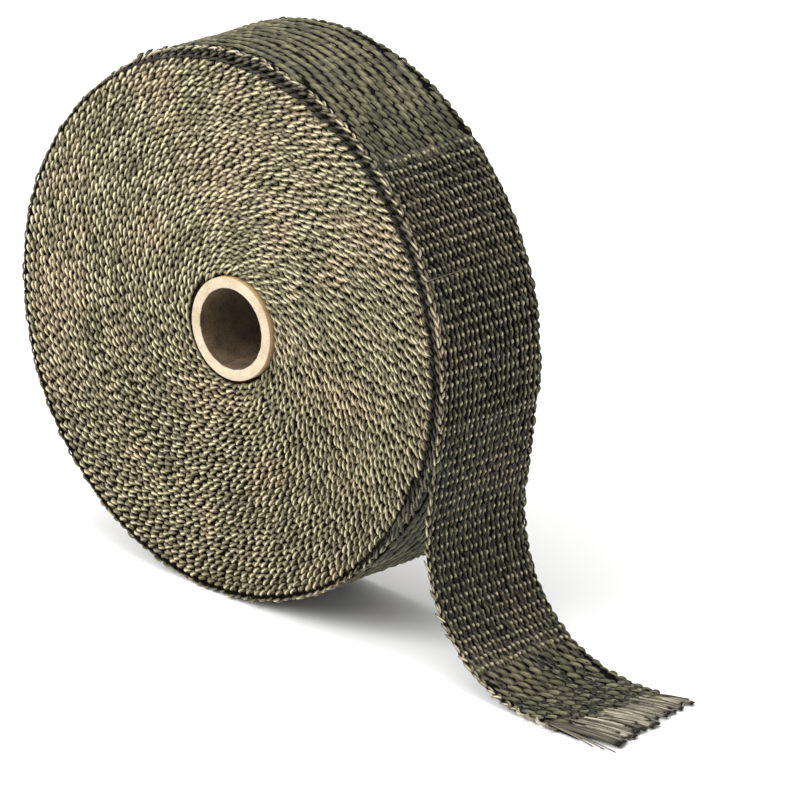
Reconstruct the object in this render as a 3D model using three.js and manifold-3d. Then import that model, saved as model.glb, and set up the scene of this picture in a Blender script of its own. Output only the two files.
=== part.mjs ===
// A roll of woven exhaust heat wrap on a cardboard core.
// It stands on its rim, and the loose end of the tape hangs down one side and lies on the floor.
// Millimetres, +Z up. The roll's axis runs along Y and the loose end points to +X.

import * as THREE from "three";
import { mergeVertices } from "three/addons/utils/BufferGeometryUtils.js";
import Module from "manifold-3d";

const wasm = await Module();
wasm.setup();

const { degToRad, radToDeg, smoothstep } = THREE.MathUtils;

// Tape
const tapeWidth = 50;
const tapeThickness = 1.9;
const turnCount = 40;

// Core tube, which is a little longer than the tape is wide
const coreOuterRadius = 17.85;
const coreWall = 3.9;
const coreProud = 1;
const coreClearance = 0.3;

// The tape is wound more loosely on one side, so the core sits off the roll's centre
const coreOffCentre = new THREE.Vector2(4.8, 2.1);

// The roll's ends show a groove after every few turns
const turnsPerGroove = 3;
const grooveDepth = 1;

// The last turn lies loosely over the one before it, which has slipped along the roll's axis
const slackPerTurn = 0.15;
const slipOfTurn = 2.5;
const slackStartDeg = 140;
const slackFullDeg = 80;
const slackEndDeg = -45;

// The loose end leaves the roll, hangs, curls outwards and lies on the floor
const leaveDeg = -3.8;
const curlRadius = 51;
const floorRun = 31;

// Fineness of the round shapes
const rollSegments = 72;
const stripStepDeg = 5;

// How deep joined shapes reach into each other before they are fused
const fuseDepth = 0.4;

// Worked out from the values above
const boreRadius = coreOuterRadius + coreClearance;
const rollRadius = boreRadius + turnCount * tapeThickness;
const halfWidth = tapeWidth / 2;
const slackTurnHeight = tapeThickness + slackPerTurn;
const lastTurnLift = 2 * slackTurnHeight;

function standardMaterial(color, roughness) {
  return new THREE.MeshStandardMaterial({ color, roughness, metalness: 0 });
}

function solidFrom(geometry) {
  const bare = geometry.index ? geometry.toNonIndexed() : geometry.clone();
  bare.deleteAttribute("normal");
  bare.deleteAttribute("uv");
  const merged = mergeVertices(bare, 1e-4);
  const mesh = new wasm.Mesh({
    numProp: 3,
    vertProperties: merged.attributes.position.array,
    triVerts: new Uint32Array(merged.index.array),
  });
  return new wasm.Manifold(mesh);
}

function geometryFrom(solid) {
  const { vertProperties, triVerts } = solid.getMesh();
  const geometry = new THREE.BufferGeometry();
  geometry.setAttribute("position", new THREE.BufferAttribute(vertProperties, 3));
  geometry.setIndex(new THREE.BufferAttribute(triVerts, 1));
  geometry.computeVertexNormals();
  return geometry;
}

// A closed ring turned about Y from a profile of (radius, place along the axis)
function turned(profile) {
  return new THREE.LatheGeometry([...profile, profile[0].clone()], rollSegments);
}

// A prism with its outline in the XZ plane, from one place along Y to another
function prism(outline, fromY, toY) {
  const shape = new THREE.Shape(outline);
  const geometry = new THREE.ExtrudeGeometry(shape, {
    depth: toY - fromY,
    bevelEnabled: false,
  });
  return geometry.rotateX(Math.PI / 2).translate(0, toY, 0);
}

function onCircle(radius, deg, centre = new THREE.Vector2()) {
  const angle = degToRad(deg);
  return new THREE.Vector2(Math.cos(angle), Math.sin(angle)).multiplyScalar(radius).add(centre);
}

function anglesBetween(fromDeg, toDeg) {
  const steps = Math.ceil(Math.abs(toDeg - fromDeg) / stripStepDeg);
  return Array.from({ length: steps + 1 }, (_, i) => fromDeg + ((toDeg - fromDeg) * i) / steps);
}

// The wound turns: crests and valleys alternate on both ends
function roundProfile() {
  const bandHeight = turnsPerGroove * tapeThickness;
  const bands = Math.round((rollRadius - boreRadius) / bandHeight);
  const bandStep = (rollRadius - boreRadius) / bands;
  const nearEnd = [new THREE.Vector2(boreRadius, grooveDepth - halfWidth)];
  for (let band = 0; band < bands; band += 1) {
    const foot = boreRadius + band * bandStep;
    nearEnd.push(new THREE.Vector2(foot + bandStep / 2, -halfWidth));
    nearEnd.push(new THREE.Vector2(foot + bandStep, grooveDepth - halfWidth));
  }
  const farEnd = nearEnd.map((point) => new THREE.Vector2(point.x, -point.y)).reverse();
  return [...nearEnd, ...farEnd];
}

// Each turn's centre slides from the roll's centre at the rim to the core's centre at the bore
function slideTowardsCore(geometry) {
  const position = geometry.getAttribute("position");
  for (let i = 0; i < position.count; i += 1) {
    const radius = Math.hypot(position.getX(i), position.getZ(i));
    const share = (rollRadius - radius) / (rollRadius - boreRadius);
    position.setX(i, position.getX(i) + share * coreOffCentre.x);
    position.setZ(i, position.getZ(i) + share * coreOffCentre.y);
  }
  return geometry;
}

function woundTurns() {
  return solidFrom(slideTowardsCore(turned(roundProfile())));
}

// How far the last turn has risen off the tight roll, from 0 to 1
function slackShare(deg) {
  return 1 - smoothstep(deg, slackFullDeg, slackStartDeg);
}

// The middle of the last turn and of the loose end, with the direction in which it runs
function lastTurnPath() {
  const tightRadius = rollRadius - fuseDepth - tapeThickness / 2;
  const risen = lastTurnLift + fuseDepth;
  const path = anglesBetween(slackStartDeg, leaveDeg).map((deg) => ({
    point: onCircle(tightRadius + risen * slackShare(deg), deg),
    normal: onCircle(1, deg),
  }));
  const { point: leave, normal } = path[path.length - 1];
  const alongTape = new THREE.Vector2(normal.y, -normal.x);
  const curlCentreZ = curlRadius - rollRadius + tapeThickness / 2;
  const hang = (curlCentreZ - leave.y - curlRadius * normal.y) / alongTape.y;
  const curlCentre = leave.clone().addScaledVector(normal, curlRadius).addScaledVector(alongTape, hang);
  for (const deg of anglesBetween(180 + leaveDeg, 270)) {
    path.push({ point: onCircle(curlRadius, deg, curlCentre), normal: onCircle(-1, deg) });
  }
  const touchDown = path[path.length - 1];
  const end = touchDown.point.clone().add(new THREE.Vector2(floorRun, 0));
  path.push({ point: end, normal: touchDown.normal });
  return path;
}

function lastTurnAndLooseEnd() {
  const path = lastTurnPath();
  const side = (sign) => ({ point, normal }) =>
    point.clone().addScaledVector(normal, (sign * tapeThickness) / 2);
  const outline = [...path.map(side(1)), ...path.map(side(-1)).reverse()];
  return solidFrom(prism(outline, -halfWidth, halfWidth));
}

// The turn under the last one: it fills the slack, and it has slipped away from the near end
function slippedTurn() {
  const height = (deg) =>
    deg > leaveDeg ? slackShare(deg) : smoothstep(deg, slackEndDeg, leaveDeg);
  const sunk = rollRadius - fuseDepth;
  const over = anglesBetween(slackStartDeg, slackEndDeg);
  const top = over.map((deg) => onCircle(sunk + (slackTurnHeight + 2 * fuseDepth) * height(deg), deg));
  const foot = over.map((deg) => onCircle(sunk - tapeThickness / 2, deg)).reverse();
  const turn = prism([...top, ...foot], -halfWidth, halfWidth);
  const position = turn.getAttribute("position");
  for (let i = 0; i < position.count; i += 1) {
    const deg = radToDeg(Math.atan2(position.getZ(i), position.getX(i)));
    position.setY(i, position.getY(i) + slipOfTurn * height(deg));
  }
  return solidFrom(turn);
}

function wrapTape() {
  const solid = woundTurns().add(slippedTurn()).add(lastTurnAndLooseEnd());
  const mesh = new THREE.Mesh(geometryFrom(solid), standardMaterial(0x6b6450, 0.85));
  mesh.name = "wrap_tape";
  return mesh;
}

function coreTube() {
  const innerRadius = coreOuterRadius - coreWall;
  const halfLength = halfWidth + coreProud;
  const section = [
    new THREE.Vector2(innerRadius, -halfLength),
    new THREE.Vector2(coreOuterRadius, -halfLength),
    new THREE.Vector2(coreOuterRadius, halfLength),
    new THREE.Vector2(innerRadius, halfLength),
  ];
  const mesh = new THREE.Mesh(turned(section), standardMaterial(0xcdb892, 0.9));
  mesh.name = "core_tube";
  mesh.position.set(coreOffCentre.x, 0, coreOffCentre.y);
  return mesh;
}

// The origin lies on the floor, under the middle of the whole roll
function exhaustHeatWrap() {
  const roll = new THREE.Group();
  roll.add(wrapTape(), coreTube());
  const box = new THREE.Box3().setFromObject(roll, true);
  const middle = box.getCenter(new THREE.Vector3());
  roll.position.set(-middle.x, -middle.y, -box.min.z);
  return roll;
}

export default exhaustHeatWrap();
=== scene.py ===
# A roll of woven exhaust heat wrap on a cardboard core, with its loose end hanging to the floor.
import math
import random
from collections import namedtuple

import bpy
from mathutils import Matrix, Vector, noise


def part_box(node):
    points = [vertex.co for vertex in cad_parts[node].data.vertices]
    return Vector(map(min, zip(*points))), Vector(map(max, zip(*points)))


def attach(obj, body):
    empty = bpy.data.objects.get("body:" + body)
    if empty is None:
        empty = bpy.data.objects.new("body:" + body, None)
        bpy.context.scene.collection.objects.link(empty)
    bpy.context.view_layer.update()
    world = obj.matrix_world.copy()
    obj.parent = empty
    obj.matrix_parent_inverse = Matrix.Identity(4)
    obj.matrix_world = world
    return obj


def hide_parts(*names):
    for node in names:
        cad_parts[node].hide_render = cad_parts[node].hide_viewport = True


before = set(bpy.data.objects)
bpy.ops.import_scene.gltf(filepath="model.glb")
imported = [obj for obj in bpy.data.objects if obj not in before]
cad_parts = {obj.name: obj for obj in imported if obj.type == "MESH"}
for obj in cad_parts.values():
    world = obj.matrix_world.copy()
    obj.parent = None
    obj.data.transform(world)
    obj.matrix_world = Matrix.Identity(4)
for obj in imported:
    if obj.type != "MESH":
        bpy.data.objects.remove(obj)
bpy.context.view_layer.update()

# Sizes of the tape and the roll, in metres; angles are in degrees from +X, over the top of the roll
MM = 0.001
tape_width = 50 * MM
tape_thickness = 1.9 * MM
turn_count = 40
core_wall = 3.9 * MM
core_clearance = 0.3 * MM
slack_per_turn = 0.15 * MM
slip_of_turn = 2.5 * MM
# The last two turns rise from the start of the slack to where it is full; the lower sinks back by its end
slack_start_deg = 140
slack_full_deg = 80
slack_end_deg = -45
leave_deg = -3.8
curl_radius = 51 * MM
floor_run = 31 * MM

wrap_low, wrap_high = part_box("wrap_tape")
core_low, core_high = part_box("core_tube")
core_radius = (core_high.x - core_low.x) / 2
core_centre = Vector(((core_low.x + core_high.x) / 2, 0, (core_low.z + core_high.z) / 2))
bore_radius = core_radius + core_clearance
roll_radius = bore_radius + turn_count * tape_thickness
roll_centre = Vector((wrap_low.x + roll_radius, 0, roll_radius))
near_y = wrap_low.y
far_y = near_y + tape_width
slack_height = tape_thickness + slack_per_turn
rim_middle = roll_radius - tape_thickness / 2
last_turn_sunk = 0.4 * MM

# The weave, the edge yarns and the frayed end
weft_pitch = 3.7 * MM
row_pitch = 4.4 * MM
edge_band = 2.9 * MM
column_count = 20
column_pitch = (tape_width - 2 * edge_band) / (column_count - 1)
stitch_pitch = 3.55 * MM
fray_length = 14 * MM
unravelled_length = 38 * MM
under_turn_start_deg = 478
under_turn_shown_to_deg = 330
ropes_from_deg = 362
weft_rows_from_deg = 50
ropes_from_share = 0.6
stray_deg = 26
fray_drift = 5.5 * MM

# One place on a path: across and outward are the directions of the tape's width and of its shown side,
# slip and row_shift move the yarns across, rope makes them wider, and lean turns them
Station = namedtuple("Station", "point across outward slip row_shift rope lean")
ACROSS = Vector((0, 1, 0))


class Wire:
    """An output of a node, which numbers and other outputs are added to, multiplied with and so on."""

    def __init__(self, graph, socket):
        self.graph = graph
        self.socket = socket

    def __add__(self, other):
        return self.graph.maths("ADD", self, other)

    def __sub__(self, other):
        return self.graph.maths("SUBTRACT", self, other)

    def __rsub__(self, other):
        return self.graph.maths("SUBTRACT", other, self)

    def __mul__(self, other):
        return self.graph.maths("MULTIPLY", self, other)

    def __truediv__(self, other):
        return self.graph.maths("DIVIDE", self, other)

    def __pow__(self, other):
        return self.graph.maths("POWER", self, other)

    __radd__ = __add__
    __rmul__ = __mul__


class Graph:
    """Adds nodes to a node tree of a material or of Geometry Nodes."""

    def __init__(self, tree):
        self.tree = tree

    def node(self, kind, settings=None, values=None):
        node = self.tree.nodes.new(kind)
        for name, value in (settings or {}).items():
            setattr(node, name, value)
        for key, value in (values or {}).items():
            self.feed(node, key, value)
        return node

    def feed(self, node, key, value):
        shown = [socket for socket in node.inputs if socket.enabled]
        socket = shown[key] if isinstance(key, int) else next(s for s in shown if s.name == key)
        if isinstance(value, Wire):
            self.tree.links.new(value.socket, socket)
        else:
            socket.default_value = value

    def wire(self, node, name=None):
        shown = [socket for socket in node.outputs if socket.enabled]
        return Wire(self, next(s for s in shown if name is None or s.name == name))

    def out(self, kind, settings=None, values=None, name=None):
        return self.wire(self.node(kind, settings, values), name)

    def maths(self, operation, *values, clamp=False):
        settings = {"operation": operation, "use_clamp": clamp}
        return self.out("ShaderNodeMath", settings, dict(enumerate(values)))

    def clamped(self, value):
        return self.maths("ADD", value, 0.0, clamp=True)

    def mix_colour(self, share, first, second):
        settings = {"data_type": "RGBA", "clamp_factor": True}
        return self.out("ShaderNodeMix", settings, {"Factor": share, "A": first, "B": second})

    def ramp(self, share, stops):
        node = self.node("ShaderNodeValToRGB", None, {"Fac": share})
        elements = node.color_ramp.elements
        while len(elements) < len(stops):
            elements.new(1.0)
        for element, (place, colour) in zip(elements, stops):
            element.position = place
            element.color = (*colour, 1)
        return self.wire(node, "Color")


# Paths that the tape follows

def smoothstep(value, low, high):
    share = min(max((value - low) / (high - low), 0), 1)
    return share * share * (3 - 2 * share)


def direction(deg):
    return Vector((math.cos(math.radians(deg)), 0, math.sin(math.radians(deg))))


def slack_share(deg):
    return 1 - smoothstep(deg, slack_full_deg, slack_start_deg)


def slipped_share(deg):
    """How far the turn under the last one has risen and slipped; deg is one turn further back."""
    if deg > 360 + leave_deg:
        return slack_share(deg - 360)
    return smoothstep(deg, 360 + slack_end_deg, 360 + leave_deg)


def outer_radius(deg):
    """Radius at the middle of the tape's thickness, for the last two turns."""
    if deg > 360 + slack_end_deg:
        return rim_middle + slack_height * slipped_share(deg)
    lift = 2 * slack_height * slack_share(deg) + last_turn_sunk * (slack_share(deg) - 1)
    return rim_middle + lift


def twill_slope(deg):
    """How the rows of the weave slope across the tape, in degrees."""
    return 2 + 10 * (1 - smoothstep(deg, 70, 95)) + 6 * (1 - smoothstep(deg, 30, 55))


def float_lean(deg):
    """How far the floats lean out of the tape's direction, towards the far edge."""
    return math.radians(-12 + 26 * (1 - smoothstep(deg, 42, 78)) - 9 * (1 - smoothstep(deg, 0, 30)))


def turn_stations(first_deg, last_deg):
    """The last turns of the tape round the roll."""
    step = 1.0
    count = math.ceil((first_deg - last_deg) / step)
    stations = []
    shift = 0
    for i in range(count + 1):
        deg = first_deg + (last_deg - first_deg) * i / count
        radius = outer_radius(deg)
        slip = slip_of_turn * slipped_share(deg) if deg > 360 + slack_end_deg else 0
        point = roll_centre + radius * direction(deg)
        shift -= math.tan(math.radians(twill_slope(deg))) * radius * math.radians(step)
        rope = smoothstep(deg, 35, 80)
        stations.append(Station(point, ACROSS, direction(deg), slip, shift, rope, float_lean(deg)))
    return stations


def loose_end_stations():
    """The tape from where it leaves the roll to its cut end."""
    step = 2 * MM
    outward = direction(leave_deg)
    along = Vector((outward.z, 0, -outward.x))
    leave = roll_centre + outer_radius(leave_deg) * outward
    centre_z = curl_radius + tape_thickness / 2
    hang = (centre_z - leave.z - curl_radius * outward.z) / along.z
    centre = leave + curl_radius * outward + hang * along
    arc_deg = 90 - leave_deg
    arc = curl_radius * math.radians(arc_deg)
    total = hang + arc + floor_run
    count = math.ceil(total / step)
    shift = 0
    stations = []
    for i in range(1, count + 1):
        run = total * i / count
        if run < hang:
            point, normal = leave + run * along, outward
        elif run < hang + arc:
            deg = 180 + leave_deg + math.degrees((run - hang) / curl_radius)
            point, normal = centre + curl_radius * direction(deg), -direction(deg)
        else:
            touch_down = Vector((centre.x, 0, tape_thickness / 2))
            point, normal = touch_down + Vector((run - hang - arc, 0, 0)), Vector((0, 0, 1))
        share = run / total
        slope = twill_slope(leave_deg) - 12 * smoothstep(share, 0.3, 1)
        shift -= math.tan(math.radians(slope)) * total / count
        rope = smoothstep(share, 0.45, 0.75)
        lean = float_lean(leave_deg) + math.radians(8) * rope
        stations.append(Station(point, ACROSS, normal, 0, shift, rope, lean))
    return stations


def spiral_stations(face_y, facing, first_turn, last_turn, steps_per_turn=72):
    """The edge of the wound tape on one end of the roll, from the core outwards."""
    count = math.ceil((last_turn - first_turn) * steps_per_turn)
    stations = []
    for i in range(count + 1):
        turn = first_turn + (last_turn - first_turn) * i / count
        deg = slack_start_deg + 360 * (turn_count - 1 - turn)
        radius = bore_radius + (turn + 0.5) * tape_thickness
        share = (roll_radius - radius) / (roll_radius - bore_radius)
        centre = roll_centre.lerp(core_centre, share)
        point = centre + radius * direction(deg) + Vector((0, face_y, 0))
        stations.append(Station(point, direction(deg), Vector((0, facing, 0)), 0, 0, 1, 0))
    return stations


# Meshes made in plain code

def new_object(name, vertices, faces, material, smooth=True):
    mesh = bpy.data.meshes.new(name)
    mesh.from_pydata([tuple(v) for v in vertices], [], faces)
    mesh.polygons.foreach_set("use_smooth", [smooth] * len(mesh.polygons))
    mesh.materials.append(material)
    piece = bpy.data.objects.new(name, mesh)
    bpy.context.collection.objects.link(piece)
    return piece


def lay_uv(piece, place_of_corner):
    """A UV map from a function of (face number, corner number in the face)."""
    layer = piece.data.uv_layers.new(name="UVMap")
    for face in piece.data.polygons:
        for corner, loop in enumerate(face.loop_indices):
            layer.data[loop].uv = place_of_corner(face.index, corner)


def swept(name, stations, section, material):
    """A closed bar along the stations; the section is a list of (across, outward) offsets, anticlockwise."""
    sides = len(section)
    vertices = []
    for place in stations:
        for across, outward in section:
            side = place.across * (across + place.slip)
            vertices.append(place.point + side + place.outward * outward)
    faces = []
    for i in range(len(stations) - 1):
        for k in range(sides):
            n = (k + 1) % sides
            faces.append((i * sides + k, (i + 1) * sides + k, (i + 1) * sides + n, i * sides + n))
    last = (len(stations) - 1) * sides
    faces.append(tuple(range(sides)))
    faces.append(tuple(last + k for k in reversed(range(sides))))
    piece = new_object(name, vertices, faces, material)
    run = 0
    runs = [0]
    for before, after in zip(stations, stations[1:]):
        run += (after.point - before.point).length
        runs.append(run)

    def place_of_corner(face, corner):
        if face >= (len(stations) - 1) * sides:
            return (runs[-1] if face % 2 else 0, corner / sides)
        i, k = divmod(face, sides)
        along = runs[i + (corner in (1, 2))]
        return (along, (k + (corner in (2, 3))) / sides)

    lay_uv(piece, place_of_corner)
    return piece


def yarn_piece(name, dive, stations=7, head=0.0, bend=0.0):
    """One shown float of yarn along X, 1 long, 1 wide and 1 high, whose ends dive between its neighbours."""
    sides = 5
    vertices = []
    for i in range(1, stations - 1):
        u = 2 * i / (stations - 1) - 1
        swell = math.sqrt(1 - abs(u) ** 2.4) * (1 + head * u)
        middle = Vector((u / 2, bend * math.sin(math.pi * u) / 2, 0.65 - 0.65 * dive * u * u))
        for k in range(sides):
            angle = math.pi / 2 + 2 * math.pi * k / sides
            vertices.append(middle + Vector((0, math.cos(angle) / 2, 0.35 * math.sin(angle))) * swell)
    rings = stations - 2
    tip_height = 0.65 - 0.65 * dive
    vertices.append(Vector((-0.5, 0, tip_height)))
    vertices.append(Vector((0.5, 0, tip_height)))
    back, front = len(vertices) - 2, len(vertices) - 1
    faces = []
    for i in range(rings - 1):
        for k in range(sides):
            n = (k + 1) % sides
            faces.append((i * sides + k, i * sides + n, (i + 1) * sides + n, (i + 1) * sides + k))
    last = (rings - 1) * sides
    for k in range(sides):
        n = (k + 1) % sides
        faces.append((back, n, k))
        faces.append((front, last + k, last + n))
    piece = new_object(name, vertices, faces, None)
    layer = piece.data.uv_layers.new(name="UVMap")
    for face in piece.data.polygons:
        seam = {0, sides - 1} <= {v % sides for v in face.vertices if v < back}
        for loop, v in zip(face.loop_indices, face.vertices):
            across = 0.5 if v >= back else (v % sides) / sides
            if seam and v < back and v % sides == 0:
                across = 1.0
            layer.data[loop].uv = (piece.data.vertices[v].co.x + 0.5, across)
    return piece


# Geometry Nodes that lay floats of yarn along a path

STITCH_INPUTS = (
    ("Geometry", "NodeSocketGeometry"),
    ("Yarn", "NodeSocketObject"),
    ("Material", "NodeSocketMaterial"),
    ("Pitch", "NodeSocketFloat"),
    ("Start", "NodeSocketFloat"),
    ("Rows", "NodeSocketInt"),
    ("First row", "NodeSocketFloat"),
    ("Row pitch", "NodeSocketFloat"),
    ("Lowest row", "NodeSocketFloat"),
    ("Highest row", "NodeSocketFloat"),
    ("Follow shift", "NodeSocketFloat"),
    ("Follow lean", "NodeSocketFloat"),
    ("Length", "NodeSocketFloat"),
    ("Width", "NodeSocketFloat"),
    ("Height", "NodeSocketFloat"),
    ("Lift", "NodeSocketFloat"),
    ("Sink", "NodeSocketFloat"),
    ("Lean", "NodeSocketFloat"),
    ("Dip", "NodeSocketFloat"),
    ("Scatter", "NodeSocketFloat"),
    ("Seed", "NodeSocketInt"),
)


def stitch_tree():
    tree = bpy.data.node_groups.new("yarn floats along a path", "GeometryNodeTree")
    for name, kind in STITCH_INPUTS:
        tree.interface.new_socket(name, in_out="INPUT", socket_type=kind)
    tree.interface.new_socket("Geometry", in_out="OUTPUT", socket_type="NodeSocketGeometry")
    graph = Graph(tree)
    given = graph.node("NodeGroupInput")
    asked = {name: graph.wire(given, name) for name, _ in STITCH_INPUTS}

    def named(name, kind="FLOAT"):
        return graph.out("GeometryNodeInputNamedAttribute", {"data_type": kind}, {"Name": name}, "Attribute")

    def chance(offset, low=-1.0, high=1.0):
        values = {"Min": low, "Max": high, "Seed": asked["Seed"] + offset}
        return graph.out("FunctionNodeRandomValue", {"data_type": "FLOAT"}, values)

    def scaled(vector, amount):
        values = {"Vector": vector, "Scale": amount}
        return graph.out("ShaderNodeVectorMath", {"operation": "SCALE"}, values, "Vector")

    def summed(first, second):
        return graph.out("ShaderNodeVectorMath", {"operation": "ADD"}, {0: first, 1: second}, "Vector")

    curve = graph.out("GeometryNodeMeshToCurve", None, {"Mesh": asked["Geometry"]})
    trimmed = graph.out(
        "GeometryNodeTrimCurve", {"mode": "LENGTH"}, {"Curve": curve, "Start": asked["Start"], "End": 1000.0}
    )
    spaced = graph.node(
        "GeometryNodeCurveToPoints", {"mode": "LENGTH"}, {"Curve": trimmed, "Length": asked["Pitch"]}
    )
    tangent = graph.wire(spaced, "Tangent")
    rows = graph.node(
        "GeometryNodeDuplicateElements",
        {"domain": "POINT"},
        {"Geometry": graph.wire(spaced, "Points"), "Amount": asked["Rows"]},
    )
    shift = graph.maths("FLOORED_MODULO", named("row_shift") * asked["Follow shift"], asked["Row pitch"])
    row = asked["First row"] + shift + graph.wire(rows, "Duplicate Index") * asked["Row pitch"]
    wander = chance(1) * asked["Scatter"] * asked["Width"]
    outward = named("outward", "FLOAT_VECTOR")
    across = named("across", "FLOAT_VECTOR")
    rope = named("rope")
    lift = asked["Lift"] - rope * asked["Sink"] + chance(9) * asked["Scatter"] * asked["Height"]
    offset = summed(scaled(across, row + wander + named("slip")), scaled(outward, lift))
    along = scaled(tangent, chance(2) * asked["Scatter"] * asked["Pitch"])
    placed = graph.out(
        "GeometryNodeSetPosition",
        None,
        {"Geometry": graph.wire(rows, "Geometry"), "Offset": summed(offset, along)},
    )
    above = graph.out(
        "FunctionNodeCompare", {"operation": "GREATER_EQUAL"}, {"A": row, "B": asked["Lowest row"]}
    )
    below = graph.out(
        "FunctionNodeCompare", {"operation": "LESS_EQUAL"}, {"A": row, "B": asked["Highest row"]}
    )
    kept = graph.out("FunctionNodeBooleanMath", {"operation": "AND"}, {0: above, 1: below})
    facing = graph.out(
        "FunctionNodeAxesToRotation",
        {"primary_axis": "Z", "secondary_axis": "X"},
        {"Primary Axis": outward, "Secondary Axis": tangent},
    )
    lean = asked["Lean"] + named("lean") * asked["Follow lean"] + chance(3) * asked["Scatter"] * 1.2
    turn = graph.out(
        "ShaderNodeCombineXYZ", None, {"X": chance(4) * asked["Scatter"], "Y": asked["Dip"], "Z": lean}
    )
    turned = graph.out(
        "FunctionNodeRotateRotation",
        {"rotation_space": "LOCAL"},
        {"Rotation": facing, "Rotate By": graph.out("FunctionNodeEulerToRotation", None, {"Euler": turn})},
    )
    size = graph.out(
        "ShaderNodeCombineXYZ",
        None,
        {
            "X": asked["Length"] * (0.85 + 0.15 * rope) * (1 + chance(5) * asked["Scatter"]),
            "Y": asked["Width"] * (0.62 + 0.38 * rope) * (1 + chance(6) * asked["Scatter"]),
            "Z": asked["Height"] * (1 + chance(7) * asked["Scatter"] * 1.5),
        },
    )
    yarn = graph.out(
        "GeometryNodeObjectInfo", {"transform_space": "ORIGINAL"}, {"Object": asked["Yarn"]}, "Geometry"
    )
    floats = graph.out(
        "GeometryNodeInstanceOnPoints",
        None,
        {"Points": placed, "Selection": kept, "Instance": yarn, "Rotation": turned, "Scale": size},
    )
    shaded = graph.out(
        "GeometryNodeStoreNamedAttribute",
        {"data_type": "FLOAT", "domain": "INSTANCE"},
        {"Geometry": floats, "Name": "shade", "Value": chance(8, 0.0, 1.0)},
    )
    whole = graph.out("GeometryNodeRealizeInstances", None, {"Geometry": shaded})
    finished = graph.out("GeometryNodeSetMaterial", None, {"Geometry": whole, "Material": asked["Material"]})
    graph.node("NodeGroupOutput", None, {"Geometry": finished})
    return tree


def path_mesh(name, stations):
    mesh = bpy.data.meshes.new(name)
    edges = [(i, i + 1) for i in range(len(stations) - 1)]
    mesh.from_pydata([tuple(s.point) for s in stations], edges, [])
    for field in ("across", "outward"):
        layer = mesh.attributes.new(field, "FLOAT_VECTOR", "POINT")
        layer.data.foreach_set("vector", [c for s in stations for c in getattr(s, field)])
    for field in ("slip", "row_shift", "rope", "lean"):
        layer = mesh.attributes.new(field, "FLOAT", "POINT")
        layer.data.foreach_set("value", [getattr(s, field) for s in stations])
    return mesh


def stitched(name, stations, tree, sizes):
    """Lays floats of yarn along the stations and returns them as one plain mesh."""
    carrier = bpy.data.objects.new(name + "_path", path_mesh(name + "_path", stations))
    bpy.context.collection.objects.link(carrier)
    modifier = carrier.modifiers.new("yarn", "NODES")
    modifier.node_group = tree
    for item in tree.interface.items_tree:
        if item.in_out == "INPUT" and item.name in sizes:
            modifier[item.identifier] = sizes[item.name]
    evaluated = carrier.evaluated_get(bpy.context.evaluated_depsgraph_get())
    mesh = bpy.data.meshes.new_from_object(evaluated)
    mesh.name = name
    bpy.data.objects.remove(carrier)
    piece = bpy.data.objects.new(name, mesh)
    bpy.context.collection.objects.link(piece)
    return piece


# Materials

def blank_material(name):
    material = bpy.data.materials.new(name)
    material.use_nodes = True
    graph = Graph(material.node_tree)
    shader = material.node_tree.nodes["Principled BSDF"]
    return material, graph, shader


def noise_wire(graph, vector, scale, detail=2.0, roughness=0.5):
    values = {"Vector": vector, "Scale": scale, "Detail": detail, "Roughness": roughness}
    return graph.out("ShaderNodeTexNoise", None, values, "Fac")


def object_place(graph):
    return graph.out("ShaderNodeTexCoord", None, None, "Object")


def yarn_material(name, dark, middle, light, roughness, painted_glint_strength=0.55):
    """Glassy fibres along the yarn, with painted shade where a float dives, painted light along its top and
    a thin painted highlight (glint) along its crest.
    """
    material, graph, shader = blank_material(name)
    shader.inputs["Specular IOR Level"].default_value = 0.25
    uv = graph.out("ShaderNodeUVMap", {"uv_map": "UVMap"}, None, "UV")
    parts = graph.node("ShaderNodeSeparateXYZ", None, {"Vector": uv})
    along, across = graph.wire(parts, "X"), graph.wire(parts, "Y")
    shade = graph.out("ShaderNodeAttribute", {"attribute_name": "shade"}, None, "Fac")
    fibre_place = graph.out(
        "ShaderNodeCombineXYZ", None, {"X": along * 1.6 + shade * 31, "Y": across * 17, "Z": shade * 57}
    )
    fibres = noise_wire(graph, fibre_place, 1.0, 3.0, 0.6)
    # Painted shade: each float is darker towards its diving ends and lighter at its crest
    off_middle = (along - 0.5) * 2
    crest = graph.clamped(1 - off_middle * off_middle)
    # Painted light: brighter along the top of the yarn's round, darker on its flanks
    painted_top_light = graph.maths("COSINE", across * (2 * math.pi))
    # Painted highlight: a thin bright streak along the crest, wider towards the float's head, stands in for
    # the fibres' glint
    painted_glint_edge = 0.95 - 0.42 * along * along
    painted_glint = graph.clamped((painted_top_light - painted_glint_edge) * 8) * crest * (0.3 + shade)
    patches = noise_wire(graph, object_place(graph), 38.0, 2.0)
    # The body tone carries the painted dive shade and painted top light, besides the fibres and the random
    # shade
    body = 0.26 * crest + 0.1 * painted_top_light + 0.7 * (fibres - 0.5) + 0.2 * shade
    tone = graph.clamped(body + 0.4 * (patches - 0.5) + painted_glint_strength * painted_glint)
    colour = graph.ramp(tone, ((0.0, dark), (0.42, middle), (1.0, light)))
    warm = graph.mix_colour(graph.clamped(patches * 3 - 1.1), (0.93, 1.0, 0.9, 1), (1.04, 0.98, 0.9, 1))
    tinted = graph.out(
        "ShaderNodeMix",
        {"data_type": "RGBA", "blend_type": "MULTIPLY"},
        {"Factor": 1.0, "A": colour, "B": warm},
    )
    graph.feed(shader, "Base Color", tinted)
    graph.feed(shader, "Roughness", graph.clamped(roughness + 0.35 * (fibres - 0.5)))
    bump_values = {"Strength": 0.25, "Distance": 0.3 * MM, "Height": fibres}
    graph.feed(shader, "Normal", graph.out("ShaderNodeBump", None, bump_values, "Normal"))
    return material


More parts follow.
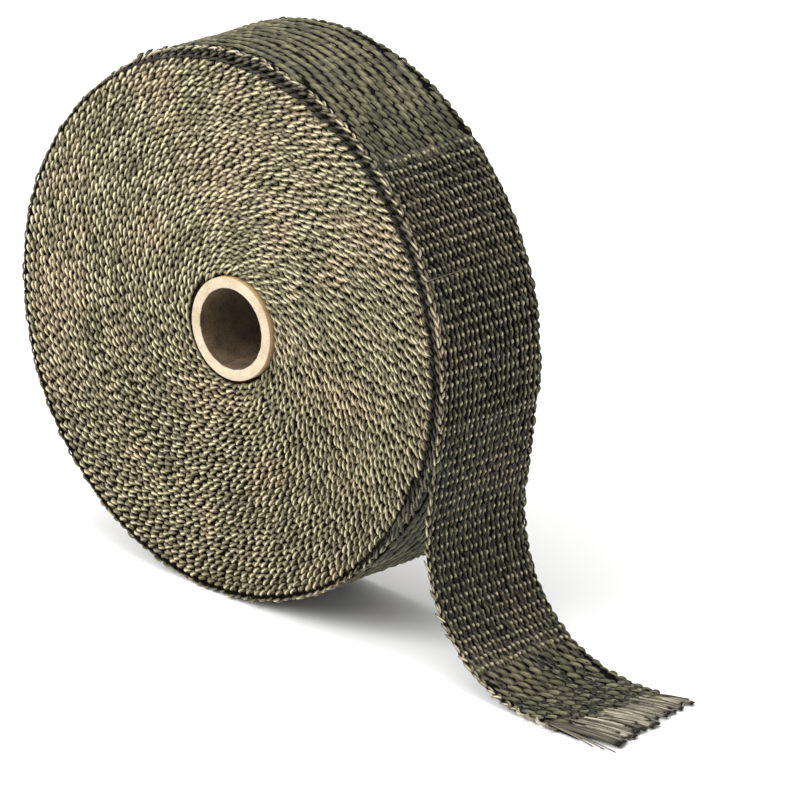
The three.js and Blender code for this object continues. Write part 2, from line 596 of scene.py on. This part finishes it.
def bundle_material(name, dark, middle, light):
    """Straight glassy fibres, dark at their cut ends."""
    material, graph, shader = blank_material(name)
    shader.inputs["Specular IOR Level"].default_value = 0.3
    uv = graph.out("ShaderNodeUVMap", {"uv_map": "UVMap"}, None, "UV")
    parts = graph.node("ShaderNodeSeparateXYZ", None, {"Vector": uv})
    along, across = graph.wire(parts, "X"), graph.wire(parts, "Y")
    shade = graph.out("ShaderNodeAttribute", {"attribute_name": "shade"}, None, "Fac")
    fibre_place = graph.out(
        "ShaderNodeCombineXYZ", None, {"X": along * 2.2, "Y": across * 30, "Z": shade * 57}
    )
    fibres = noise_wire(graph, fibre_place, 1.0, 3.0, 0.6)
    cut = graph.clamped((along - 0.9) * 14)
    tone = graph.clamped(0.12 + 2.0 * (fibres - 0.5) + 0.65 * shade - 0.7 * cut)
    graph.feed(shader, "Base Color", graph.ramp(tone, ((0.0, dark), (0.5, middle), (1.0, light))))
    graph.feed(shader, "Roughness", graph.clamped(0.4 + 0.4 * (fibres - 0.5) + 0.4 * cut))
    bump_values = {"Strength": 0.5, "Distance": 0.4 * MM, "Height": fibres}
    graph.feed(shader, "Normal", graph.out("ShaderNodeBump", None, bump_values, "Normal"))
    return material


def backing_material(name, dark, light):
    """The inside of the weave, seen in the gaps between the floats; its dark colour is painted shade for
    those gaps.
    """
    material, graph, shader = blank_material(name)
    shader.inputs["Specular IOR Level"].default_value = 0.06
    place = object_place(graph)
    fine = noise_wire(graph, place, 900.0, 3.0)
    coarse = noise_wire(graph, place, 60.0)
    tone = graph.clamped((fine - 0.35) * 1.6 + (coarse - 0.5))
    graph.feed(shader, "Base Color", graph.ramp(tone, ((0.0, dark), (1.0, light))))
    graph.feed(shader, "Roughness", 0.75 + 0.2 * fine)
    bump_values = {"Strength": 0.6, "Distance": 0.4 * MM, "Height": fine}
    graph.feed(shader, "Normal", graph.out("ShaderNodeBump", None, bump_values, "Normal"))
    return material


def cardboard_material(name):
    """Pale cut board on the ends, tan outside and dark brown, speckled board inside the bore."""
    material, graph, shader = blank_material(name)
    place = object_place(graph)
    parts = graph.node("ShaderNodeSeparateXYZ", None, {"Vector": place})
    from_axis_x = graph.wire(parts, "X") - core_centre.x
    from_axis_z = graph.wire(parts, "Z") - core_centre.z
    radius = (from_axis_x * from_axis_x + from_axis_z * from_axis_z) ** 0.5
    through_wall = (radius - (core_radius - core_wall)) / core_wall
    normal = graph.out("ShaderNodeNewGeometry", None, None, "Normal")
    facing = graph.wire(graph.node("ShaderNodeSeparateXYZ", None, {"Vector": normal}), "Y")
    end_share = graph.clamped((graph.maths("ABSOLUTE", facing) - 0.35) * 3)
    specks = noise_wire(graph, place, 1400.0, 3.0, 0.7)
    clouds = noise_wire(graph, place, 170.0, 3.0)
    plies = graph.maths("SINE", through_wall * 56 + clouds * 5)
    pale = graph.clamped(0.55 + 0.16 * plies + 0.9 * (specks - 0.5) + 0.7 * (clouds - 0.5))
    end_colour = graph.ramp(
        pale, ((0.0, (0.24, 0.17, 0.095)), (0.45, (0.41, 0.335, 0.23)), (1.0, (0.58, 0.50, 0.38)))
    )
    inside = graph.clamped(0.4 + 1.6 * (specks - 0.5) + 1.2 * (clouds - 0.5))
    inside_colour = graph.ramp(inside, ((0.0, (0.035, 0.02, 0.009)), (1.0, (0.16, 0.105, 0.055))))
    outside_colour = graph.ramp(pale, ((0.0, (0.25, 0.14, 0.05)), (1.0, (0.50, 0.34, 0.16))))
    side_colour = graph.mix_colour(graph.clamped(through_wall * 4 - 1.5), inside_colour, outside_colour)
    graph.feed(shader, "Base Color", graph.mix_colour(end_share, side_colour, end_colour))
    graph.feed(shader, "Roughness", 0.8 + 0.15 * specks)
    bump_values = {"Strength": 0.5, "Distance": 0.25 * MM, "Height": specks + 0.3 * plies}
    graph.feed(shader, "Normal", graph.out("ShaderNodeBump", None, bump_values, "Normal"))
    return material


def floor_material():
    material, graph, shader = blank_material("pale_floor")
    grain = noise_wire(graph, object_place(graph), 3.0)
    tone = graph.ramp(grain, ((0.0, (0.93, 0.93, 0.93)), (1.0, (0.95, 0.95, 0.95))))
    graph.feed(shader, "Base Color", tone)
    shader.inputs["Roughness"].default_value = 0.9
    return material


# One yarn in lit and shaded copies: the rope and weave copies are darker, painted shade for the roll's outer
# side, its notches and the back of the loose end, and the low face copy, for the deeper stitches, is darker
# with a dimmer painted glint
face_yarn = yarn_material(
    "face_yarn", (0.03, 0.023, 0.012), (0.12, 0.098, 0.058), (0.52, 0.455, 0.325), roughness=0.38
)
low_face_yarn = yarn_material(
    "low_face_yarn", (0.03, 0.023, 0.012), (0.10, 0.081, 0.047), (0.22, 0.18, 0.115), roughness=0.5
)
edge_yarn = yarn_material(
    "edge_yarn", (0.022, 0.018, 0.010), (0.11, 0.092, 0.058), (0.52, 0.46, 0.34), roughness=0.38
)
rope_yarn = yarn_material(
    "rope_yarn", (0.006, 0.005, 0.0025), (0.066, 0.060, 0.034), (0.23, 0.21, 0.135), roughness=0.5, painted_glint_strength=0.3
)
weave_yarn = yarn_material(
    "weave_yarn", (0.004, 0.0034, 0.0018), (0.028, 0.024, 0.0135), (0.16, 0.14, 0.092), roughness=0.45
)
# A lighter copy for the beads: painted light on the crowns where the floats pass over the weft
bead_yarn = yarn_material(
    "bead_yarn", (0.03, 0.026, 0.017), (0.125, 0.109, 0.075), (0.50, 0.45, 0.34), roughness=0.38
)
# A darker copy for the chains of the slipped and bared turns: painted shade for the recessed band they lie
# in
shaded_yarn = yarn_material(
    "shaded_yarn", (0.004, 0.0034, 0.002), (0.026, 0.022, 0.016), (0.11, 0.095, 0.07), roughness=0.5
)
cut_yarn = bundle_material("cut_yarn", (0.006, 0.005, 0.0025), (0.085, 0.073, 0.046), (0.58, 0.53, 0.41))
pale_yarn = bundle_material("pale_yarn", (0.05, 0.042, 0.027), (0.20, 0.175, 0.12), (0.55, 0.50, 0.38))
# Dark backings: painted shade in the gaps between the face stitches and between the weave's floats
face_backing = backing_material("face_backing", (0.012, 0.009, 0.0045), (0.08, 0.062, 0.034))
weave_backing = backing_material("weave_backing", (0.002, 0.0017, 0.001), (0.010, 0.008, 0.004))
core_board = cardboard_material("core_board")


# The wound turns under the yarn

def wound_body():
    """The plain inside of the wound turns, whose turns' centres slide from the core's to the roll's."""
    inset = 2.0 * MM
    inner, outer = bore_radius + 0.1 * MM, rim_middle - 0.6 * MM
    low, high = near_y + inset, far_y - inset
    profile = [(inner, low), (outer, low), (outer, high), (inner, high)]
    segments = 120
    vertices = []
    for s in range(segments):
        for radius, y in profile:
            share = (roll_radius - radius) / (roll_radius - bore_radius)
            centre = roll_centre.lerp(core_centre, share)
            vertices.append(centre + radius * direction(360 * s / segments) + Vector((0, y, 0)))
    faces = []
    for s in range(segments):
        t = (s + 1) % segments
        for k in range(4):
            n = (k + 1) % 4
            faces.append((s * 4 + k, s * 4 + n, t * 4 + n, t * 4 + k))
    return new_object("wound_turns", vertices, faces, face_backing)


def ridge_section():
    """The shape of one turn's edge, below the plane of the roll's end."""
    half = tape_thickness / 2
    crest, side, foot = -1.5 * MM, -2.6 * MM, -3.2 * MM
    return [(-half, side), (0, foot), (half, side), (0, crest)]


# The spiral of edge yarns ends under the slipped turn, where that turn sinks back; it is made in two pieces
spiral_end_deg = 345
last_spiral_turn = turn_count - 1 - (spiral_end_deg - slack_start_deg) / 360
split_turn = 25.0


def stitch_sizes(yarn, material, **changes):
    sizes = {
        "Yarn": yarn,
        "Material": material,
        "Pitch": stitch_pitch,
        "Start": 0.0,
        "Rows": 1,
        "First row": 0.0,
        "Row pitch": 1.0,
        "Lowest row": -1.0,
        "Highest row": 1.0,
        "Follow shift": 0.0,
        "Follow lean": 0.0,
        "Length": 4.9 * MM,
        "Width": 1.45 * MM,
        "Height": 1.3 * MM,
        "Lift": -1.15 * MM,
        "Sink": 0.0,
        "Lean": math.radians(21),
        "Dip": math.radians(9),
        "Scatter": 0.14,
        "Seed": 11,
    }
    sizes.update(changes)
    return sizes


def face_pieces(side, face_y, facing, tree, yarn, low_yarn):
    """The edges of the wound turns on one end of the roll."""
    ridge = swept(
        f"turn_edges_{side}",
        spiral_stations(face_y, facing, 0, last_spiral_turn, 60),
        ridge_section() if facing < 0 else ridge_section()[::-1],
        face_backing,
    )
    pieces = [ridge]
    spans = (("inner", 0.02, split_turn), ("outer", split_turn, last_spiral_turn))
    for number, (span, first, last) in enumerate(spans):
        stations = spiral_stations(face_y, facing, first, last)
        seed = 11 + 20 * number + (5 if facing > 0 else 0)
        shown = yarn if facing < 0 else low_yarn
        sizes = stitch_sizes(shown, face_yarn, Seed=seed)
        pieces.append(stitched(f"face_stitches_{side}_{span}", stations, tree, sizes))
        sizes = stitch_sizes(
            low_yarn,
            low_face_yarn,
            Start=0.45 * stitch_pitch,
            Length=4.2 * MM,
            Width=1.75 * MM,
            Lift=-1.6 * MM,
            Lean=math.radians(-6),
            Dip=0.0,
            Seed=seed + 50,
        )
        pieces.append(stitched(f"face_low_stitches_{side}_{span}", stations, tree, sizes))
    return pieces


def weave_sizes(yarn, material, **changes):
    sizes = {
        "Yarn": yarn,
        "Material": material,
        "Pitch": weft_pitch,
        "Start": 0.0,
        "Rows": 13,
        "First row": near_y,
        "Row pitch": row_pitch,
        "Lowest row": near_y + edge_band,
        "Highest row": far_y - edge_band,
        "Follow shift": 1.0,
        "Follow lean": 1.0,
        "Length": 7.4 * MM,
        "Width": 2.6 * MM,
        "Height": 1.35 * MM,
        "Lift": -0.35 * MM,
        "Sink": 0.0,
        "Lean": 0.0,
        "Dip": 0.0,
        "Scatter": 0.09,
        "Seed": 101,
    }
    sizes.update(changes)
    return sizes


def single_row(yarn, material, y, **changes):
    base = {"Rows": 1, "First row": y, "Follow shift": 0.0, "Follow lean": 0.0}
    base.update({"Lowest row": -1.0, "Highest row": 1.0}, **changes)
    return weave_sizes(yarn, material, **base)


def rope_rows(name, stations, tree, yarn, seed):
    """Thick ropes of yarn that run along the tape, with lower ones between them."""
    high = weave_sizes(yarn, rope_yarn, Seed=seed, Width=3.5 * MM, Height=1.5 * MM, Lift=-0.5 * MM)
    low = weave_sizes(
        yarn,
        weave_yarn,
        Start=weft_pitch / 2,
        Sink=0.4 * MM,
        Width=2.5 * MM,
        Height=1.1 * MM,
        Seed=seed + 40,
        **{"First row": near_y + row_pitch / 2},
    )
    return [
        stitched(f"weave_ropes_{name}", stations, tree, high),
        stitched(f"weave_low_{name}", stations, tree, low),
    ]


def weft_rows(name, stations, tree, yarn, bead, seed):
    """Narrow floats side by side, each with a bead where it passes over the yarn across the tape; the beads'
    paler colour is painted light.
    """
    columns = {
        "Rows": column_count,
        "First row": near_y + edge_band,
        "Row pitch": column_pitch,
        "Highest row": far_y - edge_band + column_pitch / 2,
        "Follow shift": 0.0,
    }
    floats_sizes = weave_sizes(yarn, weave_yarn, Width=2.4 * MM, Scatter=0.12, Seed=seed, **columns)
    bead_sizes = weave_sizes(
        bead,
        bead_yarn,
        Length=2.5 * MM,
        Width=2.3 * MM,
        Height=1.0 * MM,
        Lift=0.3 * MM,
        Scatter=0.1,
        Seed=seed + 40,
        **columns,
    )
    return [
        stitched(f"weave_floats_{name}", stations, tree, floats_sizes),
        stitched(f"weave_beads_{name}", stations, tree, bead_sizes),
    ]


# The last two turns and the loose end
rope_turn = turn_stations(ropes_from_deg, weft_rows_from_deg)
weft_turn = turn_stations(weft_rows_from_deg, leave_deg)
weave_turn = rope_turn + weft_turn[1:]
loose_end = loose_end_stations()
whole_tape = turn_stations(under_turn_start_deg, leave_deg) + loose_end


def strip_section(thickness, inset):
    low, high = near_y + inset, far_y - inset
    half = thickness / 2
    return [(low, -half), (high, -half), (high, half), (low, half)]


def cord_piece(name, points, widths, material, sides, flat):
    """A closed tapering strand through the points."""
    stations = []
    for i, point in enumerate(points):
        before, after = points[max(i - 1, 0)], points[min(i + 1, len(points) - 1)]
        along = (after - before).normalized()
        across = Vector((0, 0, 1)).cross(along).normalized()
        stations.append((point, across, along.cross(across), widths[i]))
    vertices = []
    for point, across, up, width in stations:
        for k in range(sides):
            angle = 2 * math.pi * k / sides
            vertices.append(point + (across * math.cos(angle) + up * flat * math.sin(angle)) * width / 2)
    faces = []
    for i in range(len(points) - 1):
        for k in range(sides):
            n = (k + 1) % sides
            faces.append((i * sides + k, i * sides + n, (i + 1) * sides + n, (i + 1) * sides + k))
    last = (len(points) - 1) * sides
    faces.append(tuple(reversed(range(sides))))
    faces.append(tuple(last + k for k in range(sides)))
    piece = new_object(name, vertices, faces, material)

    def place_of_corner(face, corner):
        if face >= (len(points) - 1) * sides:
            return (0.0 if face % 2 else 1.0, 0.5)
        i, k = divmod(face, sides)
        return ((i + (corner in (2, 3))) / (len(points) - 1), (k + (corner in (1, 2))) / sides)

    lay_uv(piece, place_of_corner)
    shade = piece.data.attributes.new("shade", "FLOAT", "POINT")
    tone = random.random()
    shade.data.foreach_set("value", [tone] * len(vertices))
    return piece


def joined(name, pieces):
    with bpy.context.temp_override(active_object=pieces[0], selected_editable_objects=pieces):
        bpy.ops.object.join()
    pieces[0].name = name
    pieces[0].data.name = name
    return pieces[0]


def straight_strand(start, end, width, material, flat, rise):
    """A strand that lies nearly straight, thin at its root and full at its cut end."""
    steps = 6
    points = []
    for step in range(steps):
        share = step / (steps - 1)
        points.append(start.lerp(end, share) + Vector((0, 0, rise * math.sin(share * math.pi))))
    widths = [width * full for full in (0.5, 0.9, 1.0, 1.0, 0.95, 0.9)]
    return cord_piece("strand", points, widths, material, 8, flat)


def cut_line(share):
    """How far the frayed yarns reach, from the near edge at 0 to the far edge at 1."""
    return wrap_high.x + (2.5 - 7.5 * share) * MM


def frayed_yarns():
    """Flat bundles of straight yarn at the cut end, with finer strands over them."""
    random.seed(7)
    strands = []
    end_x = wrap_high.x
    bundles, fine_strands = 15, 26
    for i in range(bundles):
        share = i / (bundles - 1)
        start_y = near_y + 3 * MM + (tape_width - 6 * MM) * share + random.uniform(-0.4, 0.4) * MM
        start = Vector((end_x - random.uniform(18, 22) * MM, start_y, 1.2 * MM))
        reach = cut_line(share) - random.uniform(0.0, 3.5) * MM
        end_y = start_y + fray_drift + random.uniform(-1.0, 0.6) * MM
        end = Vector((reach, end_y, random.uniform(0.8, 1.3) * MM))
        width = random.uniform(2.2, 3.6) * MM
        strands.append(straight_strand(start, end, width, cut_yarn, 0.36, 0.4 * MM))
    for _ in range(fine_strands):
        share = random.uniform(0, 1)
        start_y = near_y + 2 * MM + (tape_width - 5 * MM) * share
        start = Vector((end_x - random.uniform(16, 22) * MM, start_y, 2.1 * MM))
        reach = cut_line(share) - random.uniform(0.5, 7.0) * MM
        end_y = start_y + fray_drift + random.uniform(-1.5, 1.5) * MM
        end = Vector((reach, end_y, random.uniform(1.1, 1.9) * MM))
        strands.append(straight_strand(start, end, random.uniform(0.5, 1.3) * MM, cut_yarn, 0.6, 0.2 * MM))
    corner_start = Vector((end_x - 27 * MM, near_y + 1.8 * MM, 1.6 * MM))
    corner_end = Vector((end_x + 1.5 * MM, near_y + 7.5 * MM, 1.2 * MM))
    strands.append(straight_strand(corner_start, corner_end, 4.4 * MM, cut_yarn, 0.34, 0.8 * MM))
    return joined("frayed_yarns", strands)


def unravelled_edge():
    """Loops and stray strands of the near edge's yarn, loose beside the cut end."""
    random.seed(19)
    strands = []
    loops, loop_pitch, loop_length, loop_rise = 4, 4.1, 5.2, 0.4
    steps = 8
    first_x = wrap_high.x - unravelled_length
    for i in range(loops):
        root = Vector((first_x + i * loop_pitch * MM, near_y + 1.2 * MM, 2.3 * MM - i * 0.25 * MM))
        bulge = random.uniform(1.8, 2.8) * MM
        points = []
        for step in range(steps + 1):
            share = step / steps
            out = bulge * math.sin(share * math.pi)
            rise = loop_rise * MM * math.cos(share * math.pi)
            points.append(root + Vector((share * loop_length * MM, -out, rise)))
        widths = [(0.8 + 0.6 * math.sin(step / steps * math.pi)) * MM for step in range(steps + 1)]
        strands.append(cord_piece("loop", points, widths, pale_yarn, 6, 0.8))
    for drift, reach in ((2.4, -3.0), (1.4, 1.0), (0.2, 5.0)):
        start = Vector((wrap_high.x - 24 * MM, near_y + 0.6 * MM, 1.9 * MM))
        end = Vector((wrap_high.x - reach * MM, near_y + drift * MM, 0.6 * MM))
        strands.append(straight_strand(start, end, 0.45 * MM, pale_yarn, 1.0, 0.5 * MM))
    return joined("unravelled_edge", strands)


def stray_filament():
    """One pale stray hair of fibre across the last turn, from its near edge."""
    steps = 6
    outward = direction(stray_deg)
    root = roll_centre + (outer_radius(stray_deg) + 1.2 * MM) * outward
    points = []
    for step in range(steps + 1):
        share = step / steps
        across = near_y + 0.6 * MM + 21 * MM * share
        points.append(root + Vector((0, across, 0)) + outward * 0.9 * MM * math.sin(share * math.pi))
    return cord_piece("stray_filament", points, [0.3 * MM] * len(points), pale_yarn, 5, 1.0)


def core_piece():
    """The thick cardboard tube, with its cut edges slightly rounded and rough."""
    inner = core_radius - core_wall
    soft = 0.35 * MM
    profile = []
    corners = (
        (inner + soft, core_low.y + soft, 180),
        (core_radius - soft, core_low.y + soft, 270),
        (core_radius - soft, core_high.y - soft, 0),
        (inner + soft, core_high.y - soft, 90),
    )
    for radius, y, from_deg in corners:
        for step in range(4):
            angle = math.radians(from_deg + 30 * step)
            profile.append((radius + soft * math.cos(angle), y + soft * math.sin(angle)))
    segments = 144
    sides = len(profile)
    vertices = []
    for s in range(segments):
        out = direction(360 * s / segments)
        for radius, y in profile:
            point = core_centre + radius * out + Vector((0, y, 0))
            near_inner = radius < inner + core_wall / 2
            rough = (0.16 if near_inner else 0.07) * MM
            point += out * rough * noise.noise(point * 420)
            vertices.append(point)
    faces = []
    for s in range(segments):
        t = (s + 1) % segments
        for k in range(sides):
            n = (k + 1) % sides
            faces.append((s * sides + k, s * sides + n, t * sides + n, t * sides + k))
    return new_object("core_board_tube", vertices, faces, core_board)


def ride_all(pieces):
    for piece in pieces:
        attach(piece, "root")


floats = stitch_tree()
stitch_yarn = yarn_piece("stitch_yarn", head=0.45, bend=0.3, dive=1.1)
low_yarn = yarn_piece("low_yarn", stations=5, dive=1.1)
crown_yarn = yarn_piece("crown_yarn", bend=0.16, dive=0.95)
chain_yarn = yarn_piece("chain_yarn", head=0.2, bend=0.15, dive=1.0)

body = wound_body()
near_face = face_pieces("near", near_y, -1, floats, stitch_yarn, low_yarn)
far_face = face_pieces("far", far_y, 1, floats, stitch_yarn, low_yarn)

woven_end = [s for s in loose_end if s.point.x < wrap_high.x - fray_length]
split = round(len(loose_end) * ropes_from_share)
weave = [
    *rope_rows("turn", rope_turn, floats, crown_yarn, 101),
    *weft_rows("turn", weft_turn, floats, crown_yarn, low_yarn, 111),
    *weft_rows("loose_end", woven_end[:split], floats, crown_yarn, low_yarn, 121),
    *rope_rows("loose_end", woven_end[split - 1 :], floats, crown_yarn, 131),
]
back_of_end = [s._replace(outward=-s.outward) for s in woven_end]
back_sizes = weave_sizes(crown_yarn, weave_yarn, Seed=211, Lift=-1.0 * MM, Width=3.2 * MM)
weave.append(stitched("weave_back_loose_end", back_of_end, floats, back_sizes))

chains = []
for side, edge_y, sign in (("near", near_y, 1), ("far", far_y, -1)):
    left_out = unravelled_length if sign > 0 else fray_length
    chain_end = [s for s in loose_end if s.point.x < wrap_high.x - left_out]
    chain_stations = [s._replace(rope=1) for s in weave_turn + chain_end]
    corner_stations = []
    for s in chain_stations:
        corner_outward = (s.outward - sign * ACROSS).normalized()
        corner_across = (s.outward + sign * ACROSS).normalized()
        corner = s.point + ACROSS * (edge_y + sign * (0.75 * MM) + s.slip) + s.outward * 0.1 * MM
        turned = {"across": corner_across * sign, "outward": corner_outward}
        corner_stations.append(s._replace(point=corner, slip=0, **turned))
    # The far edge's chain takes the darker rope copy of the yarn, painted shade, and the near edge the
    # lighter edge copy
    strand_yarn = edge_yarn if sign > 0 else rope_yarn
    strand_sizes = {"Length": 4.7 * MM, "Width": 1.05 * MM, "Height": 1.2 * MM, "Scatter": 0.2}
    corner_sizes = single_row(
        chain_yarn, strand_yarn, 0.0, Lift=-0.35 * MM, Lean=math.radians(13 * sign), Seed=301, **strand_sizes
    )
    inner_sizes = single_row(
        chain_yarn,
        strand_yarn,
        edge_y + sign * 1.4 * MM,
        Lift=-0.2 * MM,
        Lean=math.radians(-18 * sign),
        Seed=302,
        **strand_sizes,
    )
    chains.append(stitched(f"edge_chain_{side}_corner", corner_stations, floats, corner_sizes))
    chains.append(stitched(f"edge_chain_{side}_inner", chain_stations, floats, inner_sizes))

under_stations = []
for s in turn_stations(under_turn_start_deg, under_turn_shown_to_deg):
    edge = s.point + ACROSS * (near_y + s.slip + 0.6 * MM)
    under_stations.append(s._replace(point=edge, across=s.outward, outward=-ACROSS, slip=0, rope=1))
# The slipped turn's chain uses the darker shaded copy: painted shade for the recess
under_sizes = single_row(
    chain_yarn,
    shaded_yarn,
    -0.9 * MM,
    Length=6.2 * MM,
    Width=1.7 * MM,
    Height=1.5 * MM,
    Lift=-0.4 * MM,
    Lean=math.radians(28),
    Seed=401,
)
under_sizes.update({"Rows": 2, "Row pitch": 1.7 * MM})
chains.append(stitched("slipped_turn_chain", under_stations, floats, under_sizes))

bared_stations = []
for s in turn_stations(slack_start_deg, slack_end_deg):
    point = roll_centre + rim_middle * s.outward
    bared_stations.append(s._replace(point=point, slip=0, rope=1))
# The bared turn's chain uses the darker shaded copy: painted shade for the recess
bared_sizes = single_row(
    chain_yarn,
    shaded_yarn,
    near_y + 0.9 * MM,
    Length=5.4 * MM,
    Width=1.2 * MM,
    Height=1.2 * MM,
    Lift=-0.8 * MM,
    Lean=math.radians(26),
    Seed=431,
)
bared_sizes.update({"Rows": 2, "Row pitch": 1.6 * MM})
chains.append(stitched("bared_turn_chain", bared_stations, floats, bared_sizes))

strip_end = wrap_high.x - fray_length + 3 * MM
strip_path = [s for s in whole_tape if s.point.x < strip_end]
strip = swept("tape_strip", strip_path, strip_section(0.6 * MM, 0.9 * MM), weave_backing)
fray = [frayed_yarns(), unravelled_edge(), stray_filament()]
core = core_piece()

for helper in (stitch_yarn, low_yarn, crown_yarn, chain_yarn):
    bpy.data.objects.remove(helper)

ride_all([body, *near_face, *far_face, *weave, *chains, strip, *fray])
ride_all([core])
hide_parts("wrap_tape")
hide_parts("core_tube")

strip_length = sum((b.point - a.point).length for a, b in zip(strip_path, strip_path[1:]))


# Floor, lights and camera

def studio_floor():
    half = 6.0
    corners = [(-half, -half, 0), (half, -half, 0), (half, half, 0), (-half, half, 0)]
    floor = new_object("floor", [Vector(c) for c in corners], [(0, 1, 2, 3)], floor_material(), False)


def area_light(name, azimuth, elevation, distance, size, power):
    """A soft light aimed at the roll; azimuth 0 is in front of the near end."""
    a, e = math.radians(azimuth), math.radians(elevation)
    back = Vector((math.sin(a) * math.cos(e), -math.cos(a) * math.cos(e), math.sin(e)))
    light = bpy.data.lights.new(name, "AREA")
    light.shape = "DISK"
    light.size = size
    light.energy = power
    lamp = bpy.data.objects.new(name, light)
    lamp.location = Vector((0, 0, roll_radius)) + back * distance
    lamp.rotation_mode = "QUATERNION"
    lamp.rotation_quaternion = (-back).to_track_quat("-Z", "Y")
    bpy.context.collection.objects.link(lamp)


def studio_world():
    world = bpy.data.worlds.new("studio")
    world.use_nodes = True
    background = world.node_tree.nodes["Background"]
    background.inputs["Color"].default_value = (1, 1, 1, 1)
    background.inputs["Strength"].default_value = 0.7
    bpy.context.scene.world = world


def studio_camera():
    """The view of the near end and the loose end, from a little above."""
    azimuth, elevation, roll = math.radians(40.68), math.radians(20.98), math.radians(3.70)
    aim_from_roll_centre = Vector((58.83, 0, -13.26)) * MM
    target = roll_centre + aim_from_roll_centre
    target.y = (near_y + far_y) / 2
    distance = 2.5
    back = Vector(
        (
            math.sin(azimuth) * math.cos(elevation),
            -math.cos(azimuth) * math.cos(elevation),
            math.sin(elevation),
        )
    )
    right = Vector((math.cos(azimuth), math.sin(azimuth), 0))
    up = back.cross(right)
    turned_right = right * math.cos(roll) + up * math.sin(roll)
    turned_up = up * math.cos(roll) - right * math.sin(roll)
    data = bpy.data.cameras.new("camera")
    data.lens = 339
    data.sensor_width = 36
    data.clip_start = 0.1
    data.clip_end = 50
    camera = bpy.data.objects.new("camera", data)
    bpy.context.collection.objects.link(camera)
    turn = Matrix((turned_right, turned_up, back)).transposed().to_4x4()
    camera.matrix_world = Matrix.Translation(target + back * distance) @ turn
    bpy.context.scene.camera = camera


studio_floor()
area_light("key", azimuth=-22, elevation=30, distance=2.2, size=1.6, power=56)
area_light("top", azimuth=10, elevation=80, distance=2.4, size=2.4, power=42)
studio_world()
studio_camera()
bpy.context.scene.view_settings.view_transform = "Standard"
